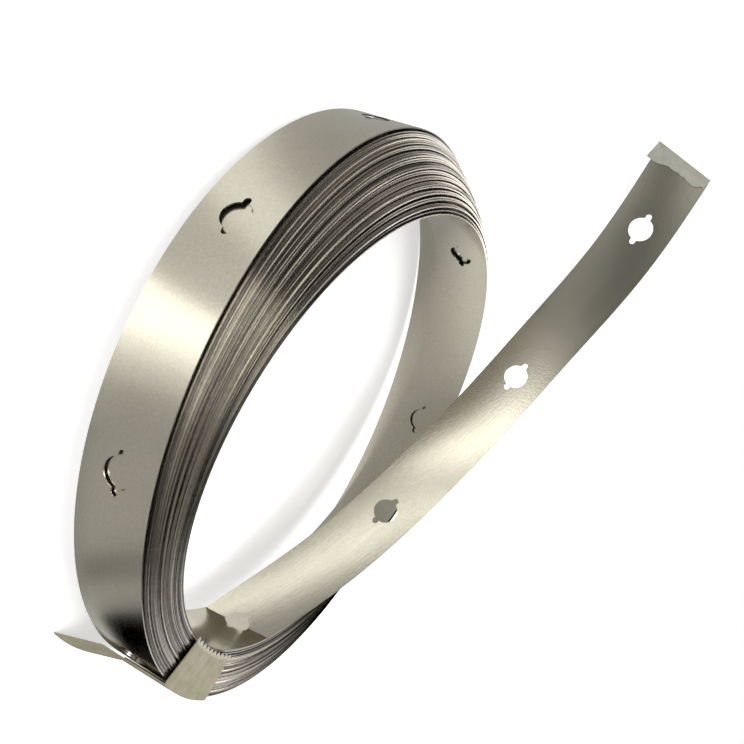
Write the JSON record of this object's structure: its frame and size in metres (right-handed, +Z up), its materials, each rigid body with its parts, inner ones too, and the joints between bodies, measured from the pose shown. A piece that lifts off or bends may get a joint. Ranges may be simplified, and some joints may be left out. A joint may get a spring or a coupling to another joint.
{
  "type": "nickel strip coil",
  "caption": "Coil of thin punched nickel strip for joining battery cells, with its inner end sprung free and paper tape holding the turns.",
  "frame": {"origin": "centre of the coil's outermost turn, midway across the strip", "axes": "+Z up, the side that the turns fan out to; the coil lies on its plain side and its axis leans 4.4 degrees from Z, because the tape's tail props it. +X towards the free end's tip"},
  "size_m": [0.0828, 0.0708, 0.0355],
  "materials": {
    "nickel": "satin rolled nickel",
    "coil_tape_paper": "matte crepe paper tape",
    "tip_tape_paper": "matte crepe paper tape"
  },
  "bodies": {
    "root": {"nickel_strip": "nickel", "coil_tape": "coil_tape_paper", "tip_tape": "tip_tape_paper"}
  },
  "joints": []
}
